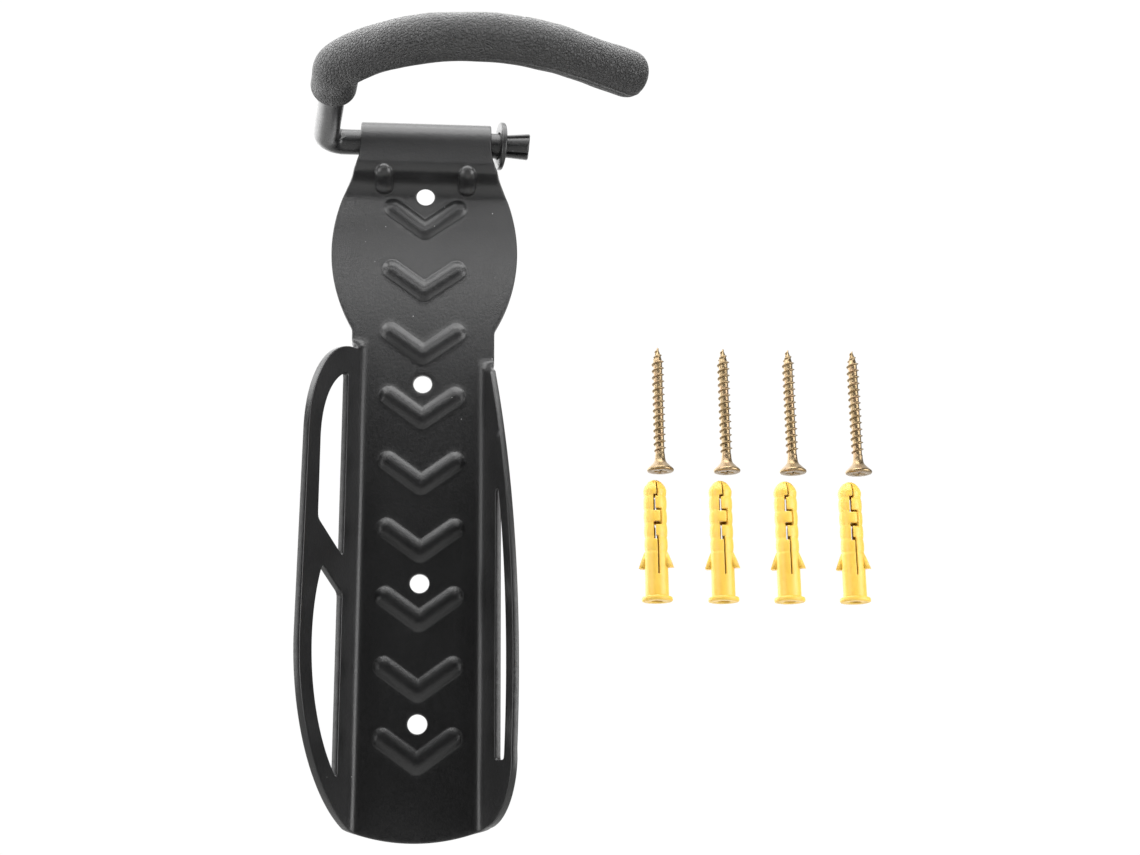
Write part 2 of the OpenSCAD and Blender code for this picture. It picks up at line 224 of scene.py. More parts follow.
def emboss(u, v, front):
    h = np.zeros_like(u)
    for line in rib_lines():
        near = (v > line[1][1] - 6) & (v < line[0][1] + 6) & (np.abs(u) < 18)
        if not near.any():
            continue
        d = np.minimum(segment_distance(u[near], v[near], line[0], line[1]),
                       segment_distance(u[near], v[near], line[1], line[2]))
        half = RIB_HW if front else RIB_HW - 0.9
        h[near] += dome(d, half, RIB_RISE if front else RIB_RISE - 0.25, 0.3)
    lo_v, hi_v = NECK_RIB_V
    for x in (-NECK_RIB_X, NECK_RIB_X):
        d = segment_distance(u, v, (x, lo_v), (x, hi_v))
        half = 3.7 if front else 2.6
        k = np.clip(1 - (d / half) ** 2.6, 0, 1)
        h += (2.3 if front else 2.0) * k ** 0.75
    return h


# ---------------------------------------------------------------- outlines of the flat sheet
def arc(cx, cy, r, a0, a1, n=60):
    a = np.radians(np.linspace(a0, a1, n))
    return [(cx + r * math.cos(t), cy + r * math.sin(t)) for t in a]


def densify(points, spacing):
    out = []
    n = len(points)
    for i in range(n):
        p, q = np.array(points[i]), np.array(points[(i + 1) % n])
        k = max(1, int(round(np.linalg.norm(q - p) / spacing)))
        out += [p + (q - p) * j / k for j in range(k)]
    return np.array(out)


def resample(loop, spacing):
    closed = np.vstack([loop, loop[:1]])
    seg = np.hypot(*np.diff(closed, axis=0).T)
    s = np.concatenate([[0], np.cumsum(seg)])
    n = int(round(s[-1] / spacing))
    t = np.linspace(0, s[-1], n, endpoint=False)
    return np.stack([np.interp(t, s, closed[:, 0]), np.interp(t, s, closed[:, 1])], 1)


def soften(points, sigma, spacing=0.8, fine=0.2):
    """A closed outline with its corners rounded over about sigma, in even steps."""
    loop = resample(densify(points, fine), fine)
    k = int(4 * sigma / fine)
    w = np.exp(-0.5 * (np.arange(-k, k + 1) * fine / sigma) ** 2)
    w /= w.sum()
    ext = np.vstack([loop[-k:], loop, loop[:k]])
    sm = np.stack([np.convolve(ext[:, i], w, "valid") for i in (0, 1)], 1)
    return resample(sm, spacing)


def head_half(z):
    return np.sqrt(HEAD_R ** 2 - (z - HEAD_H) ** 2) - (HEAD_R - HEAD_HW)


def neck_half(z):
    zs = [246.5, 249.0, 251.0, 253.0, 254.8, 256.6, 258.5, 262.0, 266.0, 290.0]
    ws = [33.7, 32.9, 32.0, 31.1, 30.0, 28.8, 27.6, 26.2, BARREL_HW, BARREL_HW]
    return np.interp(z, zs, ws)


def outer_outline():
    """The whole sheet's outline, right side from the foot up, then the left side down."""
    right = arc(0, BASE_R, BASE_R, -90, -72.5, 30)
    foot_c, foot_r = (WING_U - 1.0, 30.0), 25.0
    right += arc(*foot_c, foot_r, -84, -3, 40)
    edge_r, edge_c = 320.0, (WING_U + 25.2 - 320.0, 62.0)
    for z in np.linspace(32, 176.2, 90):
        right.append((edge_c[0] + math.sqrt(edge_r ** 2 - (z - edge_c[1]) ** 2), z))
    right += [(WAIST_HW, 178.5), (WAIST_HW, 193.9)]
    head = [(head_half(z), z) for z in np.linspace(194.2, NECK_H, 60)]
    right += head
    vs = np.linspace(NECK_H + 0.4, ROLL_START, 50)
    _, zs = neck_path(vs, np.full_like(vs, T / 2))
    neck = [(float(neck_half(z)), v) for z, v in zip(zs, vs)]
    right += neck + [(BARREL_HW, SHEET_TOP)]
    tip_c, tip_r = (WING_U - 2.0, 142.0), 43.0
    left = arc(0, BASE_R, BASE_R, -90, 0, 110)
    left += arc(*tip_c, tip_r, 0, 86.1, 80)
    left += [(WAIST_HW, 185.2), (WAIST_HW, 193.9)] + head + neck + [(BARREL_HW, SHEET_TOP)]
    return right + [(-x, y) for x, y in reversed(left)][:-1]


def left_window_outlines():
    """Upper and lower window of the left wing, drawn at positive u, to be mirrored."""
    rim, root = 10.0, 9.5
    tip_c, tip_r = (-2.0, 142.0), 43.0 - rim
    slope = math.tan(math.radians(26))
    top = math.sqrt(tip_r ** 2 - (root - tip_c[0]) ** 2)
    a1 = math.degrees(math.atan2(top, root - tip_c[0]))
    x_out = tip_c[0] + tip_r
    upper = [(root, 97.5 + slope * root), (x_out, 97.5 + slope * x_out)]
    upper += arc(*tip_c, tip_r, 0, a1, 50)
    base_x = -WING_U
    r = BASE_R - rim
    low = BASE_R - math.sqrt(r ** 2 - (root - base_x) ** 2)
    a0 = math.degrees(math.atan2(low - BASE_R, root - base_x))
    pts = arc(base_x, BASE_R, r, a0, 60, 240)
    lower = [(root, low)]
    for x, z in pts:
        if x < root - 0.01 or z > 84 + slope * x:
            break
        lower.append((x, z))
    lower.append((root, 84 + slope * root))
    return [[(WING_U + x, z) for x, z in win] for win in (upper, lower)]


def right_slot_outline():
    root, rim = 9.5, 6.5
    r, cx, cz = 320.0 - rim, 25.2 - 320.0, 62.0
    pts = [(root, 28.5)]
    for z in np.linspace(28.5, 128.5, 80):
        x = cx + math.sqrt(r ** 2 - (z - cz) ** 2)
        pts.append((max(x, root + 2.4), z))
    pts.append((root, 128.5))
    return [(WING_U + x, z) for x, z in pts]


def sheet_loops():
    loops = [soften(outer_outline(), 0.7)]
    for i in HOLE_RIBS:
        loops.append(resample(np.array(arc(0, RIB_H + i * RIB_PITCH + HOLE_RISE, HOLE_R,
                                           0, 360, 73)[:-1]), 0.5))
    for win in left_window_outlines():
        loops.append(soften([(-x, z) for x, z in win], 1.1))
    loops.append(soften(right_slot_outline(), 0.9))
    return loops


def loop_normals(loop, outward):
    """Unit normals in the sheet, pointing off the metal."""
    d = np.roll(loop, -1, 0) - np.roll(loop, 1, 0)
    n = np.stack([d[:, 1], -d[:, 0]], 1) / np.linalg.norm(d, axis=1)[:, None]
    area = 0.5 * np.sum(loop[:, 0] * np.roll(loop[:, 1], -1) - np.roll(loop[:, 0], -1) * loop[:, 1])
    if (area > 0) != outward:
        n = -n
    return n


def inside(points, loop):
    """Even-odd test of many points against one closed loop."""
    x, y = points[:, 0], points[:, 1]
    hit = np.zeros(len(points), bool)
    j = len(loop) - 1
    for i in range(len(loop)):
        xi, yi = loop[i]
        xj, yj = loop[j]
        cross = (yi > y) != (yj > y)
        if cross.any():
            xc = (xj - xi) * (y - yi) / (yj - yi + 1e-12) + xi
            hit ^= cross & (x < xc)
        j = i
    return hit


def offset_line(line, d, spacing=0.7):
    """Closed outline at distance d round a three-point line."""
    (ax, ay), (bx, by), (cx, cy) = line
    sl = math.atan2(cy - by, cx - bx)
    n = np.array([math.sin(sl), -math.cos(sl)])
    low = arc(bx, by, d, -90, math.degrees(sl) - 90, 10)
    end = arc(cx, cy, d, math.degrees(sl) - 90, math.degrees(sl) + 90, 20)
    inner = [(bx, by + d / math.cos(sl))]
    right = low + end
    left = [(-x, y) for x, y in reversed(right)]
    return resample(densify(right + inner + left, 0.2), spacing)


def build_sheet():
    loops = sheet_loops()
    normals = [loop_normals(loop, i == 0) for i, loop in enumerate(loops)]
    caps = [loop - n * EDGE for loop, n in zip(loops, normals)]
    points, edges = [], []

    def add_loop(loop):
        k = len(points)
        points.extend(map(tuple, loop))
        m = len(loop)
        edges.extend((k + i, k + (i + 1) % m) for i in range(m))

    for cap in caps:
        add_loop(cap)
    n_caps = len(points)
    contours = []
    for line in rib_lines():
        for d in (RIB_HW + 0.55, RIB_HW + 0.12, RIB_HW - 0.3, RIB_HW - 1.2, 0.9):
            contours.append(offset_line(line, d, 0.75))
    lo_v, hi_v = NECK_RIB_V
    for x in (-NECK_RIB_X, NECK_RIB_X):
        for d in (4.1, 3.7, 3.5, 3.2, 2.7, 2.0):
            c = arc(x, hi_v, d, 0, 180, 24) + arc(x, lo_v, d, 180, 360, 24)
            contours.append(resample(densify(c, 0.2), 0.7))
    fixed = [np.array(points)]
    for c in contours:
        add_loop(c)
        fixed.append(c)
    fixed = np.vstack(fixed)

    grid = []
    row = 0
    v = 0.4
    while v < SHEET_TOP:
        fine = v > NECK_H - 3
        du = 1.0 if fine else 1.3
        dv = 0.62 if fine else 1.15
        u = np.arange(-72, 72, du) + (du / 2 if row % 2 else 0)
        strip = np.concatenate([u, np.arange(-28, -19.6, 0.6), np.arange(19.8, 28, 0.6)]) \
            if v < 192 else u
        grid.append(np.stack([strip, np.full(len(strip), v)], 1))
        v += dv
        row += 1
    grid = np.vstack(grid)
    keep = inside(grid, caps[0])
    for cap in caps[1:]:
        keep &= ~inside(grid, cap)
    grid = grid[keep]
    # drop grid points that crowd an outline or a contour
    cell = 0.5
    taken = set()
    for x, y in fixed:
        i, j = int(math.floor(x / cell)), int(math.floor(y / cell))
        for a in (-1, 0, 1):
            for b in (-1, 0, 1):
                taken.add((i + a, j + b))
    cells = np.floor(grid / cell).astype(int)
    free = np.array([(i, j) not in taken for i, j in map(tuple, cells)])
    grid = grid[free]
    # and those that crowd each other
    apart = 0.45
    seen, chosen = set(), []
    for k, (x, y) in enumerate(grid):
        key = (int(round(x / apart)), int(round(y / apart)))
        if key not in seen:
            seen.add(key)
            chosen.append(k)
    grid = grid[chosen]
    points.extend(map(tuple, grid))

    verts, _, faces, origin, _, _ = delaunay_2d_cdt(
        [Vector(p) for p in points], edges, [], 0, 1e-5)
    verts = np.array([tuple(v) for v in verts])
    tri = []
    for f in faces:
        tri += [(f[0], f[i], f[i + 1]) for i in range(1, len(f) - 1)]
    tri = np.array(tri)
    centre = verts[tri].mean(1)
    ok = inside(centre, caps[0])
    for cap in caps[1:]:
        ok &= ~inside(centre, cap)
    tri = tri[ok]
    where = {}
    for new, old in enumerate(origin):
        for o in old:
            where.setdefault(o, new)
    n = len(verts)
    # front cap, back cap, then the rounded rim of each loop
    front_uvw = np.column_stack([verts, np.full(n, T)])
    back_uvw = np.column_stack([verts, np.zeros(n)])
    uvw = [front_uvw, back_uvw]
    side = [np.ones(n, bool), np.zeros(n, bool)]
    faces_out = []
    a, b, c = tri.T
    area = ((verts[b] - verts[a])[:, 0] * (verts[c] - verts[a])[:, 1]
            - (verts[b] - verts[a])[:, 1] * (verts[c] - verts[a])[:, 0])
    tri[area < 0] = tri[area < 0][:, ::-1]
    faces_out += [tuple(t) for t in tri[:, ::-1].tolist()]
    faces_out += [tuple(t) for t in (tri + n).tolist()]
    base = 2 * n
    first = 0
    steps = 4  # faces across each rounded edge
    for loop, nrm in zip(loops, normals):
        m = len(loop)
        ids_front = [where[first + i] for i in range(m)]
        ids_back = [n + i for i in ids_front]
        first += m
        profile = []
        for k in range(1, steps + 1):
            t = math.pi / 2 * k / steps
            profile.append((-EDGE + EDGE * math.sin(t), T - EDGE + EDGE * math.cos(t), True))
        for k in range(steps + 1):
            if k == 0:
                profile.append((0.0, EDGE, False))
                continue
            t = math.pi / 2 * k / steps
            if k < steps:
                profile.append((-EDGE + EDGE * math.cos(t), EDGE - EDGE * math.sin(t), False))
        previous = ids_front
        outer_ccw = np.sum(loop[:, 0] * np.roll(loop[:, 1], -1)
                           - np.roll(loop[:, 0], -1) * loop[:, 1]) > 0
        flip = outer_ccw == (loop is loops[0])
        for entry in profile + [None]:
            if entry is None:
                current = ids_back
            else:
                off, w, is_front = entry
                ring = loop + nrm * off
                uvw.append(np.column_stack([ring, np.full(m, w)]))
                side.append(np.full(m, is_front))
                current = list(range(base, base + m))
                base += m
            for i in range(m):
                j = (i + 1) % m
                q = (previous[i], previous[j], current[j], current[i])
                faces_out.append(q if flip else q[::-1])
            previous = current
    uvw = np.vstack(uvw)
    side = np.concatenate(side)
    u, v, w = uvw.T
    lift = np.where(side, emboss(u, v, True), emboss(u, v, False))
    xyz = fold(u, v, w + lift)
    # drop vertices that no face uses
    used = np.unique(np.concatenate([np.array(f) for f in faces_out]))
    remap = -np.ones(len(xyz), int)
    remap[used] = np.arange(len(used))
    return xyz[used], [tuple(int(remap[i]) for i in f) for f in faces_out]


# ---------------------------------------------------------------- making Blender objects
def make_mesh(name, verts_mm, faces, material, body, replaces=()):
    me = bpy.data.meshes.new(name)
    me.from_pydata(world(verts_mm).tolist(), [], [list(f) for f in faces])
    me.validate()
    me.polygons.foreach_set("use_smooth", [True] * len(me.polygons))
    me.materials.append(material)
    o = bpy.data.objects.new(name, me)
    bpy.context.scene.collection.objects.link(o)
    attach(o, body)
    if replaces:
        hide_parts(*replaces)
    return o


def new_material(name):
    m = bpy.data.materials.new(name)
    m.use_nodes = True
    nt = m.node_tree
    return m, nt, nt.nodes["Principled BSDF"]


def noise(nt, coord, scale, detail=2.0, rough=0.5):
    n = nt.nodes.new("ShaderNodeTexNoise")
    n.inputs["Scale"].default_value = scale
    n.inputs["Detail"].default_value = detail
    n.inputs["Roughness"].default_value = rough
    nt.links.new(coord, n.inputs["Vector"])
    return n


def ramp(nt, value, stops):
    r = nt.nodes.new("ShaderNodeValToRGB")
    el = r.color_ramp.elements
    while len(el) < len(stops):
        el.new(0.5)
    for e, (pos, col) in zip(el, stops):
        e.position = pos
        e.color = (*col, 1) if len(col) == 3 else (col[0], col[0], col[0], 1)
    nt.links.new(value, r.inputs["Fac"])
    return r


def bump(nt, height, strength, distance, normal=None):
    b = nt.nodes.new("ShaderNodeBump")
    b.inputs["Strength"].default_value = strength
    b.inputs["Distance"].default_value = distance
    nt.links.new(height, b.inputs["Height"])
    if normal is not None:
        nt.links.new(normal, b.inputs["Normal"])
    return b


def coords(nt):
    return nt.nodes.new("ShaderNodeTexCoord").outputs["Object"]


def powder_coat(name, base, rough, peel=0.16, specks=True):
    """Black powder coat: fine orange peel, uneven gloss, a painted highlight that makes the sharp
    edges paler, and specks of dust.
    """
    m, nt, p = new_material(name)
    c = coords(nt)
    wide = noise(nt, c, 60, 2)
    fine = noise(nt, c, 900, 2)
    grit = noise(nt, c, 3800, 1)
    geo = nt.nodes.new("ShaderNodeNewGeometry")
    edge = ramp(nt, geo.outputs["Pointiness"], [(0.54, (0, 0, 0)), (0.62, (1, 1, 1))])
    colour = ramp(nt, wide.outputs["Fac"], [(0.3, base), (0.75, tuple(1.35 * x for x in base))])
    # painted highlight: sharp edges (found by pointiness) get a paler grey colour, standing in for
    # light catching the edges
    edge_highlight = nt.nodes.new("ShaderNodeMix")
    edge_highlight.data_type = "RGBA"
    edge_highlight.inputs[7].default_value = (0.05, 0.05, 0.052, 1)
    nt.links.new(edge.outputs["Color"], edge_highlight.inputs[0])
    nt.links.new(colour.outputs["Color"], edge_highlight.inputs[6])
    last = edge_highlight.outputs[2]
    if specks:
        dots = nt.nodes.new("ShaderNodeTexVoronoi")
        dots.inputs["Scale"].default_value = 260
        dots.inputs["Randomness"].default_value = 1
        nt.links.new(c, dots.inputs["Vector"])
        near = ramp(nt, dots.outputs["Distance"], [(0.035, (1, 1, 1)), (0.06, (0, 0, 0))])
        rare = nt.nodes.new("ShaderNodeSeparateColor")
        nt.links.new(dots.outputs["Color"], rare.inputs["Color"])
        few = ramp(nt, rare.outputs[0], [(0.90, (0, 0, 0)), (0.93, (1, 1, 1))])
        mul = nt.nodes.new("ShaderNodeMath")
        mul.operation = "MULTIPLY"
        nt.links.new(near.outputs["Color"], mul.inputs[0])
        nt.links.new(few.outputs["Color"], mul.inputs[1])
        dust = nt.nodes.new("ShaderNodeMix")
        dust.data_type = "RGBA"
        dust.inputs[7].default_value = (0.35, 0.35, 0.35, 1)
        nt.links.new(mul.outputs["Value"], dust.inputs[0])
        nt.links.new(last, dust.inputs[6])
        last = dust.outputs[2]
    nt.links.new(last, p.inputs["Base Color"])
    gloss = ramp(nt, fine.outputs["Fac"], [(0.3, (rough - 0.04,)), (0.7, (rough + 0.05,))])
    nt.links.new(gloss.outputs["Color"], p.inputs["Roughness"])
    b1 = bump(nt, fine.outputs["Fac"], peel, 0.0004)
    b2 = bump(nt, grit.outputs["Fac"], peel * 0.6, 0.0001, b1.outputs["Normal"])
    nt.links.new(b2.outputs["Normal"], p.inputs["Normal"])
    return m


plate_mat = powder_coat("plate_powder_coat", (0.0088, 0.0088, 0.0091), 0.33, 0.14)
rod_mat = powder_coat("rod_powder_coat", (0.007, 0.007, 0.0073), 0.30, 0.02, False)
washer_mat = powder_coat("washer_coat", (0.007, 0.007, 0.0073), 0.30, 0.02, False)

sheet_verts, sheet_faces = build_sheet()
plate = make_mesh("rack_plate", sheet_verts, sheet_faces, plate_mat, "plate",
                  ("wall_plate",))

# ---------------------------------------------------------------- the hook's line
CROOK_C = np.array([17.6, -25.7])
CROOK_R, SHOULDER_R, ELBOW_R = 61.3, 16.0, 7.0
ARM_LEAN = math.radians(7.3)
ARM_OFF = 53.9
TIP_SLOPE = math.radians(31)
TIP_LEN = 26.0
SLEEVE_R = 8.4
SLEEVE_RUN = 13.3
ROD_R = 5.0
ROD_END = 41.0
ARM_SIDE = np.array([-math.cos(ARM_LEAN), -math.sin(ARM_LEAN)])
ARM_DIR = np.array([math.sin(ARM_LEAN), -math.cos(ARM_LEAN)])
SHOULDER_RUN = math.sqrt((CROOK_R - SHOULDER_R) ** 2 - (ARM_OFF - SHOULDER_R) ** 2)
SHOULDER_TURN = math.atan2(SHOULDER_RUN, ARM_OFF - SHOULDER_R)
ELBOW_X = CROOK_C[0] + (ARM_OFF - ELBOW_R + (CROOK_C[1] + ELBOW_R) * ARM_SIDE[1]) / ARM_SIDE[0]


class Line:
    """A flat line of straight runs and arcs, with points and side directions at any distance."""

    def __init__(self, start, heading):
        self.p, self.h, self.parts, self.length = np.array(start, float), heading, [], 0.0

    def run(self, length):
        self.parts.append((self.length, length, self.p.copy(), self.h, 0.0))
        self.p = self.p + length * np.array([math.cos(self.h), math.sin(self.h)])
        self.length += length
        return self

    def turn(self, radius, angle):
        """Positive angles turn left."""
        k = math.copysign(1 / radius, angle)
        self.parts.append((self.length, radius * abs(angle), self.p.copy(), self.h, k))
        side = np.array([-math.sin(self.h), math.cos(self.h)])
        centre = self.p + side / k
        self.h += angle
        side = np.array([-math.sin(self.h), math.cos(self.h)])
        self.p = centre - side / k
        self.length += radius * abs(angle)
        return self

    def at(self, s):
        for start, length, p, h, k in self.parts:
            if s <= start + length + 1e-9 or (start, length, p, h, k) == self.parts[-1]:
                break
        d = s - start
        if k == 0:
            return p + d * np.array([math.cos(h), math.sin(h)]), h
        side = np.array([-math.sin(h), math.cos(h)])
        h2 = h + d * k
        side2 = np.array([-math.sin(h2), math.cos(h2)])
        return p + side / k - side2 / k, h2


def sweep(line, stations, angles, radius):
    """Rings round the line, closed at both ends.

    radius(s, angle) has angle 0 to the line's left and 90 degrees up.
    """
    verts, faces = [], []
    n = len(angles)
    for s in stations:
        p, h = line.at(s)
        side = np.array([-math.sin(h), math.cos(h)])
        r = radius(s, angles)
        x = p[0] + side[0] * r * np.cos(angles)
        y = p[1] + side[1] * r * np.cos(angles)
        verts.append(np.stack([x, y + BARREL_Y, BARREL_H + r * np.sin(angles)], 1))
    for i in range(len(stations) - 1):
        for j in range(n):
            k = (j + 1) % n
            faces.append((i * n + j, (i + 1) * n + j, (i + 1) * n + k, i * n + k))
    verts = np.vstack(verts)
    for ring, flip in ((0, False), (len(stations) - 1, True)):
        c = verts[ring * n:(ring + 1) * n].mean(0)
        verts = np.vstack([verts, c])
        k = len(verts) - 1
        for j in range(n):
            f = (ring * n + j, ring * n + (j + 1) % n, k)
            faces.append(f[::-1] if flip else f)
    return verts, faces


def rod_line():
    """From the staked end to the left through the barrel, then out along the arm."""
    arm = Line((ROD_END, 0.0), math.pi)
    arm.run(ROD_END - ELBOW_X)
    arm.turn(ELBOW_R, math.pi / 2 + ARM_LEAN)
    elbow_c = np.array([ELBOW_X, -ELBOW_R])
    arm.run(SHOULDER_RUN - (elbow_c - CROOK_C) @ ARM_DIR)
    arm.turn(SHOULDER_R, SHOULDER_TURN)
    arm.turn(CROOK_R, math.pi / 2 + TIP_SLOPE - ARM_LEAN - SHOULDER_TURN)
    arm.run(TIP_LEN - 2)
    return arm


def lumps(s, a, seed, wave, size):
    """Smooth seeded unevenness round and along a swept piece."""
    rng = np.random.default_rng(seed)
    out = np.zeros_like(a)
    for _ in range(9):
        k = rng.integers(0, 4)
        f = 2 * math.pi / (wave * rng.uniform(0.6, 1.8))
        out = out + np.cos(k * a + rng.uniform(0, 6.28)) * math.cos(f * s + rng.uniform(0, 6.28))
    return size * out / 3


def build_rod():
    line = rod_line()
    stake = ROD_END - 31.6
    grooves = np.radians([28, 118, 208, 298])

    def radius(s, a):
        r = np.full_like(a, ROD_R) + lumps(s, a, 3, 22, 0.035)
        if s < stake + 1.5:
            k = 1 - float(step(np.array(s), stake - 0.8, stake + 1.4))
            flare = 0.25 - 0.75 * (s / stake)
            r = r + k * np.clip(flare, -0.6, 0.25)
            depth = (2.3 - 0.7 * s / stake) * k
            for g in grooves:
                # the line runs to the left here, so its left side is the front (-y)
                d = np.abs((a - g + math.pi) % (2 * math.pi) - math.pi) * ROD_R
                r = r - depth * np.clip(1 - (d / 0.85) ** 5, 0, 1)
            if s < 0.7:
                r = r * (1 - 0.10 * (1 - s / 0.7) ** 2)
        return r

    stations = list(np.linspace(0, stake + 2, 46)) + list(np.linspace(stake + 2.6, 70, 50))
    stations += list(np.linspace(70.6, line.length, 170))
    verts, faces = sweep(line, stations, np.linspace(0, 2 * math.pi, 145)[:-1], radius)
    # the staked end is cut a little on the slant
    end = verts[:, 0] > 31
    verts[end, 0] += (verts[end, 0] - 31) / 10 * 0.085 * (verts[end, 2] - BARREL_H)
    return verts, faces


def build_ear():
    """Pinched triangular fin on the front of the rod, left of the barrel."""
    def at(x, up, out):
        skin = math.sqrt(max(ROD_R ** 2 - up ** 2, 0))
        return np.array((x, BARREL_Y - skin - out, BARREL_H + up))

    top, low, tip = at(-36.6, 3.6, -0.3), at(-35.6, -4.0, -0.3), at(-31.0, 0.3, -0.1)
    ridge_top, ridge_low = at(-36.0, 3.0, 1.6), at(-35.2, -2.9, 2.0)
    back = at(-33.0, 0.2, -3.0)
    facets = [(ridge_top, ridge_low, tip), (top, ridge_top, tip), (ridge_low, low, tip),
              (top, low, ridge_low, ridge_top),
              (top, tip, back), (tip, low, back), (low, top, back)]
    verts, faces = [], []
    for f in facets:
        faces.append(tuple(range(len(verts), len(verts) + len(f)))[::-1])
        verts += list(f)
    return np.array(verts), faces


def build_sleeve():
    line = Line(CROOK_C + ARM_OFF * ARM_SIDE + SLEEVE_RUN * ARM_DIR, ARM_LEAN - math.pi / 2)
    line.run(SHOULDER_RUN - SLEEVE_RUN)
    shoulder_at = line.length
    line.turn(SHOULDER_R, SHOULDER_TURN)
    crook_at = line.length
    line.turn(CROOK_R, math.pi / 2 + TIP_SLOPE - ARM_LEAN - SHOULDER_TURN)
    tip_at = line.length
    line.run(TIP_LEN + SLEEVE_R)
    total = line.length
    squeeze = (shoulder_at + crook_at) / 2

    def radius(s, a):
        r = np.full_like(a, SLEEVE_R)
        r = r + lumps(s, a, 11, 34, 0.16) + lumps(s, a, 12, 13, 0.06)
        # the foam wrinkles on the inside of the tight bend
        inner = np.clip(np.cos(a), 0, 1)
        for at, depth, wide in ((squeeze - 3.4, 0.55, 1.0), (squeeze + 0.6, 0.95, 1.3),
                                (squeeze + 5.2, 0.45, 1.1)):
            r = r - depth * inner ** 2 * math.exp(-((s - at) / wide) ** 2)
        # parting line of the mould along the underside
        seam = np.abs((a + 0.52 * math.pi + math.pi) % (2 * math.pi) - math.pi) * SLEEVE_R
        line_on = 0.35 + 0.65 * float(step(np.array(s), crook_at + 45, crook_at + 60))
        r = r + line_on * (0.22 * np.exp(-(seam / 0.45) ** 2)
                           - 0.12 * np.exp(-((seam - 1.1) / 0.6) ** 2))
        # rounded start and blunt closed tip
        if s < 1.6:
            r = r - (1.6 - math.sqrt(max(1.6 ** 2 - (1.6 - s) ** 2, 0)))
        end = s - (total - SLEEVE_R)
        if end > 0:
            k = min(end / SLEEVE_R, 1)
            r = r * (1 - k ** 2.7) ** (1 / 2.7)
        return r

    q = np.linspace(0, 1, 26)
    stations = list(np.linspace(0, 1.6, 7)) + list(np.linspace(2.1, crook_at + 2, 60))
    stations += list(np.linspace(crook_at + 2.7, total - SLEEVE_R, 170))
    stations += list(total - SLEEVE_R + SLEEVE_R * np.sin(q[1:-1] * math.pi / 2))
    stations.append(total - 0.002)
    return sweep(line, stations, np.linspace(0, 2 * math.pi, 81)[:-1], radius)


def foam_skin():
    """Soft black foam with a leathery moulded skin."""
    m, nt, p = new_material("foam_skin")
    c = coords(nt)
    warp = noise(nt, c, 420, 2)
    mix = nt.nodes.new("ShaderNodeMix")
    mix.data_type = "VECTOR"
    mix.inputs[0].default_value = 0.0016
    nt.links.new(c, mix.inputs[4])
    nt.links.new(warp.outputs["Color"], mix.inputs[5])
    grain = nt.nodes.new("ShaderNodeTexVoronoi")
    grain.feature = "DISTANCE_TO_EDGE"
    grain.inputs["Scale"].default_value = 800
    nt.links.new(mix.outputs[1], grain.inputs["Vector"])
    cells = ramp(nt, grain.outputs["Distance"], [(0.0, (0, 0, 0)), (0.22, (1, 1, 1))])
    fine = noise(nt, c, 3600, 3, 0.6)
    wide = noise(nt, c, 55, 2)
    col = ramp(nt, wide.outputs["Fac"],
               [(0.3, (0.010, 0.010, 0.0103)), (0.7, (0.016, 0.016, 0.0163))])
    # painted shade: the colour is darkened along the cell edges, the grooves of the grain bump, as
    # if shade lay in them
    dark = nt.nodes.new("ShaderNodeMix")
    dark.data_type = "RGBA"
    dark.blend_type = "MULTIPLY"
    dark.inputs[0].default_value = 0.45
    nt.links.new(col.outputs["Color"], dark.inputs[6])
    nt.links.new(cells.outputs["Color"], dark.inputs[7])
    nt.links.new(dark.outputs[2], p.inputs["Base Color"])
    gloss = ramp(nt, fine.outputs["Fac"], [(0.3, (0.48,)), (0.7, (0.62,))])
    nt.links.new(gloss.outputs["Color"], p.inputs["Roughness"])
    b1 = bump(nt, cells.outputs["Color"], 1.0, 0.0009)
    b2 = bump(nt, fine.outputs["Fac"], 0.7, 0.0002, b1.outputs["Normal"])
    nt.links.new(b2.outputs["Normal"], p.inputs["Normal"])
    return m


def merge(parts):
    verts, faces, n = [], [], 0
    for v, f in parts:
        verts.append(np.asarray(v, float))
        faces += [tuple(i + n for i in face) for face in f]
        n += len(v)
    return np.vstack(verts), faces


v, f = merge([build_rod(), build_ear()])
make_mesh("rack_hook_rod", v, f, rod_mat, "hook", ("hook_rod",))
v, f = build_sleeve()
sleeve = make_mesh("rack_hook_sleeve", v, f, foam_skin(), "hook", ("hook_sleeve",))
sleeve.visible_glossy = False
sleeve.visible_shadow = False


def revolve(profile, n=72):
    """A closed ring of a (radius, height) profile turned round z."""
    a = np.linspace(0, 2 * math.pi, n + 1)[:-1]
    verts = np.array([(r * math.cos(t), r * math.sin(t), h) for t in a for r, h in profile])
    m = len(profile)
    faces = [(i * m + j, ((i + 1) % n) * m + j, ((i + 1) % n) * m + (j + 1) % m,
              i * m + (j + 1) % m) for i in range(n) for j in range(m)]
    return verts, faces


def build_washer():
    lo_c, hi_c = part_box("washer")
    centre = [(lo_c[i] + hi_c[i]) / 2 / MM for i in range(3)]
    centre[2] -= FOOT / MM
    half, r_in, r_out, e = 1.0, 5.45, 9.5, 0.62
    prof = []
    for cx, cz, a0 in ((r_out - e, half - e, 0), (r_in + 0.4, half - 0.4, 90),
                       (r_in + 0.4, -half + 0.4, 180), (r_out - e, -half + e, 270)):
        rad = e if cx > 7 else 0.4
        prof += [(cx + rad * math.cos(math.radians(a0 + k * 15)),
                  cz + rad * math.sin(math.radians(a0 + k * 15))) for k in range(7)]
    v, f = revolve(prof, 96)
    # the loose washer leans a little and shows its left face
    tilt = math.radians(-9)
    c, s = math.cos(tilt), math.sin(tilt)
    out = np.stack([v[:, 2] * c + v[:, 1] * s, v[:, 1] * c - v[:, 2] * s, -v[:, 0]], 1)
    return out + np.array(centre), f


v, f = build_washer()
make_mesh("rack_washer", v, f, washer_mat, "washer", ("washer",))


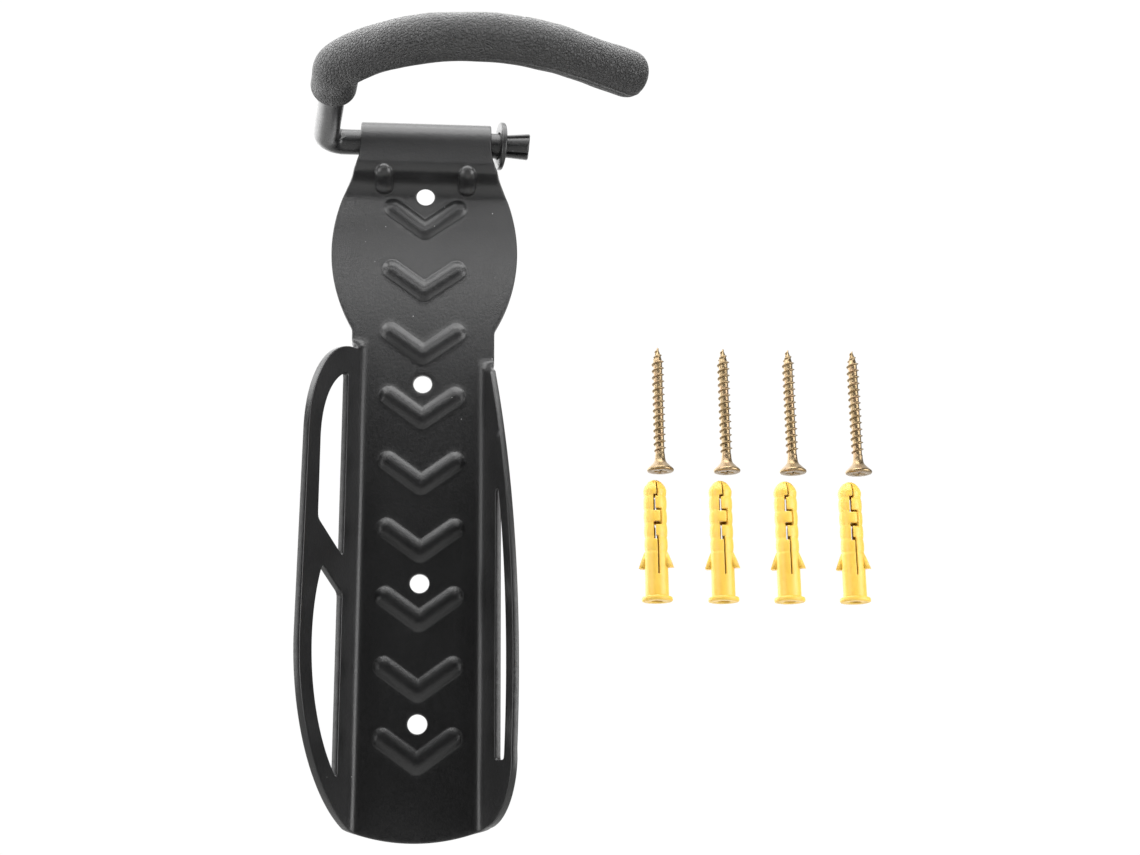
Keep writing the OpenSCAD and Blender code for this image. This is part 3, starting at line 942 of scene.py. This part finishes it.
# ---------------------------------------------------------------- loose fixings
def fixing_base(node):
    lo_f, hi_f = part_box(node)
    return np.array([(lo_f.x + hi_f.x) / 2 / MM, (lo_f.y + hi_f.y) / 2 / MM,
                     (lo_f.z - FOOT) / MM]), (hi_f.z - lo_f.z) / MM


def build_screw(length, turn):
    """Countersunk wood screw with a real helical thread, head down."""
    pitch, core, crest, head = 2.68, 1.72, 2.52, 5.2
    n_a = 40
    head_prof = [(0.0, 0.0, 0), (4.3, 0.0, 0), (4.95, 0.12, 0), (5.2, 0.5, 0), (5.15, 0.95, 0),
                 (4.8, 1.35, 0), (4.1, 2.0, 0), (3.2, 2.9, 0), (2.55, 3.6, 0), (2.2, 4.3, 0),
                 (2.0, 5.2, 0), (1.9, 6.2, 0)]
    zs = [z for _, z, _ in head_prof] + list(np.arange(6.35, length - 0.02, 0.134)) + [length]
    a = np.linspace(0, 2 * math.pi, n_a + 1)[:-1]
    rows = []
    for i, z in enumerate(zs):
        if i < len(head_prof):
            r = np.full(n_a, head_prof[i][0])
        else:
            taper = np.clip((length - z) / 5.5, 0, 1) ** 0.75
            base = 1.9 + (core - 1.9) * float(step(np.array(z), 6.2, 8.0))
            phase = ((z / pitch - (a + turn) / (2 * math.pi)) % 1 - 0.5) * pitch
            grow = float(step(np.array(z), 6.6, 9.0))
            ridge = np.clip(1 - np.abs(phase) / 0.52, 0, 1) ** 0.9
            r = base * taper + (crest - core) * ridge * grow * (0.35 + 0.65 * taper)
            if z > length - 7:
                # cut point: a notch that runs up one side of the tip
                cut = np.abs((a - 2.2 * (z - length) / 7 - 4.4 + math.pi) % (2 * math.pi) - math.pi)
                r = r * (1 - 0.45 * np.clip(1 - cut / 0.5, 0, 1))
            r = np.maximum(r, 0.02)
        rows.append(np.stack([r * np.cos(a), r * np.sin(a), np.full(n_a, z)], 1))
    # cross recess in the head's face
    rows[0][:, :2] = np.stack([np.cos(a), np.sin(a)], 1) * 0.05
    face = []
    for r0, depth in ((0.05, 2.2), (0.8, 2.1), (1.6, 1.6), (2.3, 0.5), (2.7, 0.0), (3.6, 0.0)):
        arm = np.abs(np.cos(2 * a)) ** 6
        face.append(np.stack([r0 * np.cos(a), r0 * np.sin(a), depth * arm], 1))
    rows = face + rows[1:]
    verts = np.vstack(rows)
    faces = [(i * n_a + j, i * n_a + (j + 1) % n_a, (i + 1) * n_a + (j + 1) % n_a,
              (i + 1) * n_a + j) for i in range(len(rows) - 1) for j in range(n_a)]
    faces.append(tuple(range(n_a))[::-1])
    last = (len(rows) - 1) * n_a
    faces.append(tuple(range(last, last + n_a)))
    return verts, faces


def build_plug(length):
    """Slotted wall plug: banded split half above, plain tube, two barbs and a collar below."""
    n_a, r_in = 120, 2.35
    band = 5.35
    top = length
    collar = 1.6
    slot_low = 9.9
    zs = [0.0, 0.25, 0.8, 1.35, collar, collar + 0.02]
    zs += list(np.arange(2.1, top - 0.05, 0.46)) + [top]
    a = np.linspace(0, 2 * math.pi, n_a + 1)[:-1] - math.pi / 2
    front = (a + math.pi / 2 + math.pi) % (2 * math.pi) - math.pi

    def outer(z):
        if z < collar + 0.01:
            return {0.0: 5.55, 0.25: 5.8, 0.8: 5.85, 1.35: 5.8}.get(z, 5.55)
        if z < 18.6:
            return 4.47 - 0.06 * (z - 2) / 16
        if z > top - 3.9:
            k = (z - (top - 3.9)) / 3.9
            return 4.38 - 2.5 * k ** 1.6 - 0.9 * max(0, k - 0.8) * 5 * 0.6
        t = ((top - 6.3 - z) / band) % 1
        return 4.12 + 0.34 * math.sin(math.pi * t) ** 0.6

    bounds = [top - 6.4 - band * i for i in range(5)]

    def in_slot(z, phi):
        """Slots as seen from one side; the back has the same ones."""
        p = np.degrees((phi + math.pi / 2) % math.pi - math.pi / 2)
        lo_p, mid, hi_p = -13, 4, 22
        half = 5.6
        hit = np.zeros_like(p, bool)
        if z > bounds[0] - 0.1:
            hit |= np.abs(p - mid) < half * 0.8
        if bounds[1] - 0.3 < z <= bounds[0] + 0.5:
            hit |= np.abs(p - lo_p) < half
        if abs(z - bounds[0]) < 0.5:
            hit |= (p > lo_p - half) & (p < mid + half)
        if abs(z - bounds[1]) < 0.55:
            hit |= (p > lo_p - half - 3) & (p < hi_p + half + 1)
        if bounds[2] < z <= bounds[1]:
            hit |= np.abs(p - hi_p) < half * 0.8
        if abs(z - bounds[2]) < 0.55:
            hit |= (p > lo_p - half - 3) & (p < hi_p + half + 1)
        if bounds[3] < z <= bounds[2]:
            hit |= np.abs(p - lo_p) < half
        if abs(z - bounds[3]) < 0.65:
            hit |= (p > lo_p - half) & (p < mid + half)
        if slot_low < z <= bounds[3]:
            hit |= np.abs(p - mid) < half * 0.75
        return hit

    ring_o, ring_i = [], []
    for z in zs:
        r = np.full(n_a, outer(z))
        ri = min(r_in, outer(z) - 0.7)
        ring_o.append(np.stack([r * np.cos(a), r * np.sin(a), np.full(n_a, z)], 1))
        ring_i.append(np.stack([ri * np.cos(a), ri * np.sin(a), np.full(n_a, z)], 1))
    rows = len(zs)
    verts = np.vstack(ring_o + ring_i)
    off = rows * n_a
    phi_mid = front + math.pi / n_a
    solid = np.ones((rows - 1, n_a), bool)
    for i in range(rows - 1):
        z = (zs[i] + zs[i + 1]) / 2
        if z > slot_low:
            solid[i] = ~in_slot(z, phi_mid)
    faces = []
    for i in range(rows - 1):
        for j in range(n_a):
            k = (j + 1) % n_a
            if not solid[i, j]:
                continue
            p, q, r, s = i * n_a + j, i * n_a + k, (i + 1) * n_a + k, (i + 1) * n_a + j
            faces.append((p, q, r, s))
            faces.append((off + s, off + r, off + q, off + p))
            if i == 0 or not solid[i - 1, j]:
                faces.append((p, off + p, off + q, q))
            if i == rows - 2 or not solid[i + 1, j]:
                faces.append((s, r, off + r, off + s))
            if not solid[i, (j - 1) % n_a]:
                faces.append((p, s, off + s, off + p))
            if not solid[i, k]:
                faces.append((q, off + q, off + r, r))
    parts = [(verts, faces)]
    # barbs: flat triangular flaps that spread downwards
    yaw = 0.42
    z1, z0 = 18.9, 12.7
    for side in (-1, 1):
        c, s_ = math.cos(side * yaw), math.sin(side * yaw)
        pts = []
        for z, reach in ((z1, 4.2), ((z1 + z0) / 2, 5.45), (z0, 6.55)):
            wide = 1.2 if z == z1 else 1.55
            for d in (-wide, wide):
                for rr in (reach - 2.2 if z < z1 else 3.2, reach):
                    pts.append((rr * side * c - d * s_ * side, -rr * s_ - d, z))
        fv = np.array(pts)
        fq = [(0, 1, 5, 4), (4, 5, 9, 8), (3, 2, 6, 7), (7, 6, 10, 11), (1, 3, 7, 5), (5, 7, 11, 9),
              (2, 0, 4, 6), (6, 4, 8, 10), (8, 9, 11, 10), (0, 2, 3, 1)]
        parts.append((fv, fq))
    return merge(parts)


def zinc():
    """Yellow zinc plating: brassy and uneven in hue."""
    m, nt, p = new_material("yellow_zinc")
    c = coords(nt)
    wide = noise(nt, c, 260, 2)
    fine = noise(nt, c, 2600, 2)
    col = ramp(nt, wide.outputs["Fac"], [(0.32, (0.24, 0.17, 0.09)), (0.5, (0.30, 0.225, 0.13)),
                                         (0.68, (0.31, 0.215, 0.13))])
    nt.links.new(col.outputs["Color"], p.inputs["Base Color"])
    p.inputs["Metallic"].default_value = 1.0
    gloss = ramp(nt, fine.outputs["Fac"], [(0.3, (0.30,)), (0.7, (0.40,))])
    nt.links.new(gloss.outputs["Color"], p.inputs["Roughness"])
    b = bump(nt, fine.outputs["Fac"], 0.08, 0.0001)
    nt.links.new(b.outputs["Normal"], p.inputs["Normal"])
    return m


def nylon():
    """Moulded yellow nylon: waxy, faintly uneven."""
    m, nt, p = new_material("yellow_nylon")
    c = coords(nt)
    wide = noise(nt, c, 180, 2)
    fine = noise(nt, c, 2200, 2)
    col = ramp(nt, wide.outputs["Fac"], [(0.3, (0.74, 0.47, 0.065)), (0.7, (0.78, 0.51, 0.085))])
    nt.links.new(col.outputs["Color"], p.inputs["Base Color"])
    p.inputs["Roughness"].default_value = 0.42
    p.inputs["Subsurface Weight"].default_value = 0.15
    p.inputs["Subsurface Radius"].default_value = (0.0012, 0.0008, 0.0003)
    b = bump(nt, fine.outputs["Fac"], 0.15, 0.0001)
    nt.links.new(b.outputs["Normal"], p.inputs["Normal"])
    return m


zinc_mat, nylon_mat = zinc(), nylon()
for i in range(1, 5):
    at, tall = fixing_base(f"screw_{i}")
    v, f = build_screw(tall, 0.35 * i)
    make_mesh(f"rack_screw_{i}", v + at, f, zinc_mat, "plate", (f"screw_{i}",))
    at, tall = fixing_base(f"wall_plug_{i}")
    v, f = build_plug(tall)
    make_mesh(f"rack_wall_plug_{i}", v + at, f, nylon_mat, "plate",
              (f"wall_plug_{i}",))


# ---------------------------------------------------------------- surroundings
def area_light(name, place, target, size_x, size_y, radiance):
    """A soft box whose face is as bright as radiance, where 1 is the white background."""
    d = bpy.data.lights.new(name, "AREA")
    d.shape = "RECTANGLE"
    d.size, d.size_y = size_x, size_y
    d.energy = radiance * math.pi * size_x * size_y
    o = bpy.data.objects.new(name, d)
    bpy.context.scene.collection.objects.link(o)
    o.location = place
    o.rotation_mode = "QUATERNION"
    o.rotation_quaternion = (Vector(target) - Vector(place)).to_track_quat("-Z", "Y")
    o.visible_camera = False


def surroundings():
    w = bpy.data.worlds.new("studio")
    bpy.context.scene.world = w
    w.use_nodes = True
    nt = w.node_tree
    bg = nt.nodes["Background"]
    geo = nt.nodes.new("ShaderNodeTexCoord")
    sep = nt.nodes.new("ShaderNodeSeparateXYZ")
    nt.links.new(geo.outputs["Generated"], sep.inputs["Vector"])
    # a bright sweep behind the rack and dark room in front of it; the picture sees plain white
    r = nt.nodes.new("ShaderNodeValToRGB")
    el = r.color_ramp.elements
    el[0].position, el[0].color = 0.48, (0.008, 0.008, 0.008, 1)
    el[1].position, el[1].color = 0.60, (1, 1, 1, 1)
    half = nt.nodes.new("ShaderNodeMath")
    half.operation = "MULTIPLY_ADD"
    half.inputs[1].default_value = 0.5
    half.inputs[2].default_value = 0.5
    nt.links.new(sep.outputs["Y"], half.inputs[0])
    nt.links.new(half.outputs["Value"], r.inputs["Fac"])
    nt.links.new(r.outputs["Color"], bg.inputs["Color"])
    left = nt.nodes.new("ShaderNodeMath")
    left.operation = "MULTIPLY_ADD"
    left.inputs[1].default_value = -2.2
    left.inputs[2].default_value = 2.2
    nt.links.new(sep.outputs["X"], left.inputs[0])
    nt.links.new(left.outputs["Value"], bg.inputs["Strength"])
    plain = nt.nodes.new("ShaderNodeBackground")
    plain.inputs["Color"].default_value = (1.02, 1.02, 1.02, 1)
    rays = nt.nodes.new("ShaderNodeLightPath")
    mix = nt.nodes.new("ShaderNodeMixShader")
    nt.links.new(rays.outputs["Is Camera Ray"], mix.inputs["Fac"])
    nt.links.new(bg.outputs["Background"], mix.inputs[1])
    nt.links.new(plain.outputs["Background"], mix.inputs[2])
    nt.links.new(mix.outputs["Shader"], nt.nodes["World Output"].inputs["Surface"])
    area_light("near_band", (0.0, -0.15, 0.125), (0.0, 0.0, 0.08), 0.4, 0.02, 6.3)
    area_light("front_band", (0.0, -0.31, 0.19), (0.0, 0.0, 0.08), 0.7, 0.05, 1.2)
    area_light("overhead", (-0.04, -0.09, 0.25), (-0.04, -0.09, 0.0), 0.5, 0.18, 6.0)
    area_light("near_top", (-0.02, -0.12, 0.175), (-0.02, -0.04, 0.08), 0.4, 0.03, 2.0)
    area_light("left_card", (-0.50, -0.27, -0.03), (0.0, -0.02, -0.03), 0.34, 0.42, 4.5)
    area_light("right_card", (0.50, -0.27, -0.03), (0.0, -0.02, -0.03), 0.34, 0.42, 6.0)


surroundings()


CAMERA_TURN = (5.097, 15.310, -0.552)  # yaw, pitch and roll, degrees
CAMERA_PLACE = (0.004515, -0.59213, -0.006503 + FOOT)
CAMERA_LENS, CAMERA_SENSOR = 50.03, 36


def camera():
    yaw, pitch, roll = (math.radians(a) for a in CAMERA_TURN)
    fwd = Vector((math.sin(yaw) * math.cos(pitch),
                  math.cos(yaw) * math.cos(pitch), math.sin(pitch)))
    right = Vector((math.cos(yaw), -math.sin(yaw), 0))
    up = right.cross(fwd)
    r2 = math.cos(roll) * right + math.sin(roll) * up
    u2 = -math.sin(roll) * right + math.cos(roll) * up
    d = bpy.data.cameras.new("camera")
    d.sensor_width = CAMERA_SENSOR
    d.lens = CAMERA_LENS
    d.clip_start, d.clip_end = 0.01, 20
    o = bpy.data.objects.new("camera", d)
    m = Matrix((r2, u2, -fwd)).transposed().to_4x4()
    m.translation = Vector(CAMERA_PLACE)
    o.matrix_world = m
    bpy.context.scene.collection.objects.link(o)
    bpy.context.scene.camera = o


camera()


def floor():
    me = bpy.data.meshes.new("floor")
    s = 3.0
    z = -0.75
    me.from_pydata([(-s, -s, z), (s, -s, z), (s, s, z), (-s, s, z)], [], [(0, 1, 2, 3)])
    m, nt, p = new_material("pale_floor")
    p.inputs["Base Color"].default_value = (0.86, 0.86, 0.85, 1)
    p.inputs["Roughness"].default_value = 0.8
    me.materials.append(m)
    o = bpy.data.objects.new("floor", me)
    bpy.context.scene.collection.objects.link(o)


floor()
bpy.context.scene.view_settings.view_transform = "Standard"
